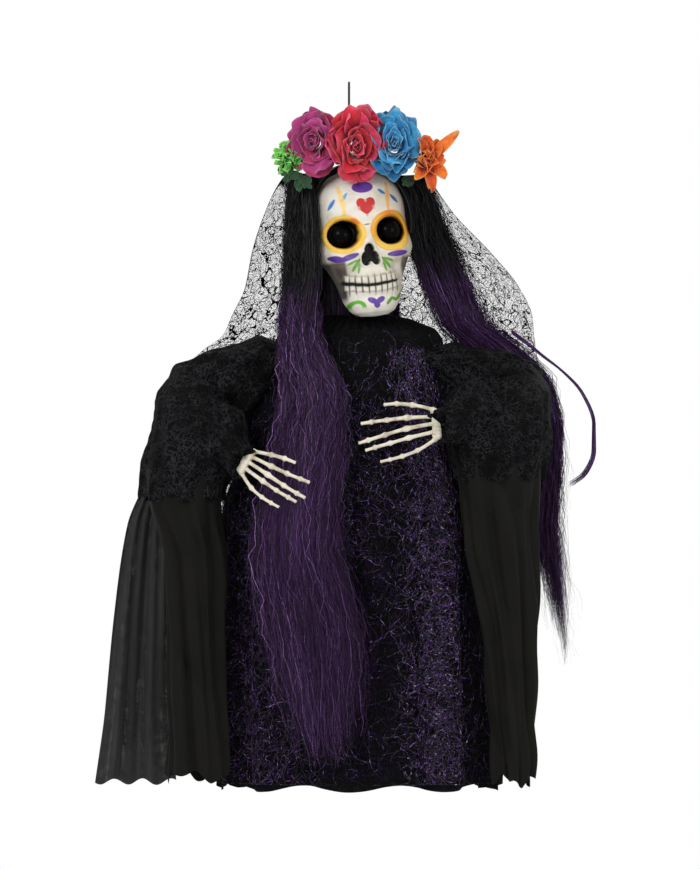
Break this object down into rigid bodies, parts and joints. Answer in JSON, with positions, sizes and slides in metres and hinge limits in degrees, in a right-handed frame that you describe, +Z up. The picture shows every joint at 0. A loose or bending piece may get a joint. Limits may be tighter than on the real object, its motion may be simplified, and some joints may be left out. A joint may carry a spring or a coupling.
{
  "type": "hanging catrina figure",
  "caption": "Hanging Day of the Dead catrina: painted skull with fabric roses, black-to-purple hair, lace veil, black robe and posable bony hands.",
  "frame": {"origin": "the point at the top of the hanging loop where it bears on its hook", "axes": "+Z up along the cord, -Y the way the robe's front faces, +X to the figure's left"},
  "size_m": [0.654, 0.2985, 0.921],
  "materials": {
    "skull_paint": "painted, satin",
    "eye_gloss": "gloss",
    "hand_ivory": "satin",
    "inner_plastic": "satin",
    "wire": "satin",
    "rivet": "satin",
    "cord": "matt",
    "hair": "silky",
    "wig_cap": "matt",
    "lace": "open lace",
    "robe_cloth": "matt",
    "sleeve_cloth": "raised pattern",
    "satin": "satin",
    "gauze": "open weave",
    "glitter_net": "net with glitter",
    "stuffing": "matt",
    "rose_red": "soft",
    "rose_magenta": "soft",
    "rose_blue": "soft",
    "petal_orange": "soft",
    "petal_green": "soft",
    "leaf": "soft"
  },
  "bodies": {
    "hanger": {"hang_cord": "cord", "cord_knot": "cord"},
    "head": {"cord_washer": "rivet", "skull_face": "skull_paint", "skull_back": "skull_paint", "right_eye": "eye_gloss", "left_eye": "eye_gloss", "neck_socket": "inner_plastic", "hair_cap": "wig_cap", "right_hair_lock": "hair", "left_hair_lock": "hair", "back_hair": "hair", "hair_curl": "hair", "headband": "wig_cap", "veil": "lace", "red_rose": "rose_red", "blue_rose": "rose_blue", "magenta_rose": "rose_magenta", "orange_flower": "petal_orange", "green_flower": "petal_green", "rose_leaves": "leaf"},
    "torso": {"neck_post": "inner_plastic", "shoulder_yoke": "inner_plastic", "shoulder_rivets": "rivet", "chest_form": "stuffing", "neck_collar": "robe_cloth", "robe_front": "robe_cloth", "robe_back": "robe_cloth", "glitter_net": "glitter_net"},
    "right_upper": {"right_upper_arm": "wire", "right_elbow_rivet": "rivet", "right_upper_sleeve": "sleeve_cloth", "gauze_panel": "gauze"},
    "right_lower": {"right_forearm": "wire", "right_wrist_rivet": "rivet", "right_lower_sleeve": "sleeve_cloth", "right_sleeve_drape": "satin"},
    "right_palm": {"right_hand": "hand_ivory"},
    "left_upper": {"left_upper_arm": "wire", "left_elbow_rivet": "rivet", "left_upper_sleeve": "sleeve_cloth"},
    "left_lower": {"left_forearm": "wire", "left_wrist_rivet": "rivet", "left_lower_sleeve": "sleeve_cloth", "left_sleeve_drape": "satin"},
    "left_palm": {"left_hand": "hand_ivory"}
  },
  "joints": [
    {"name": "cord_twist", "type": "hinge", "parent": "hanger", "child": "head", "pos_m": [0, 0, -0.1], "axis": [0, 0, 1], "range_deg": [-90, 90], "stiffness_Nm_per_rad": 0.02},
    {"name": "neck_turn", "type": "hinge", "parent": "head", "child": "torso", "pos_m": [0.014, 0.02, -0.232], "axis": [0, 0, 1], "range_deg": [-30, 30], "deforming": ["veil", "right_hair_lock", "left_hair_lock", "back_hair", "hair_curl"]},
    {"name": "right_shoulder", "type": "hinge", "parent": "torso", "child": "right_upper", "pos_m": [-0.106, 0.005, -0.352], "axis": [0, 1, 0], "range_deg": [-12, 30], "deforming": ["right_upper_sleeve", "gauze_panel"]},
    {"name": "right_elbow", "type": "hinge", "parent": "right_upper", "child": "right_lower", "pos_m": [-0.215, 0.002, -0.408], "axis": [-0.3258, -0.6671, 0.67], "range_deg": [-60, 5], "deforming": ["right_lower_sleeve", "right_sleeve_drape"]},
    {"name": "right_wrist", "type": "hinge", "parent": "right_lower", "child": "right_palm", "pos_m": [-0.142, -0.112, -0.486], "axis": [0.1835, -0.4723, 0.8621], "range_deg": [-20, 20]},
    {"name": "left_shoulder", "type": "hinge", "parent": "torso", "child": "left_upper", "pos_m": [0.13, 0.005, -0.352], "axis": [0, -1, 0], "range_deg": [-12, 30], "deforming": ["left_upper_sleeve"]},
    {"name": "left_elbow", "type": "hinge", "parent": "left_upper", "child": "left_lower", "pos_m": [0.232, 0.002, -0.405], "axis": [-0.3648, 0.5722, -0.7345], "range_deg": [-60, 5], "deforming": ["left_lower_sleeve", "left_sleeve_drape"]},
    {"name": "left_wrist", "type": "hinge", "parent": "left_lower", "child": "left_palm", "pos_m": [0.125, -0.115, -0.443], "axis": [0.0575, 0.2605, -0.9638], "range_deg": [-20, 20]}
  ]
}
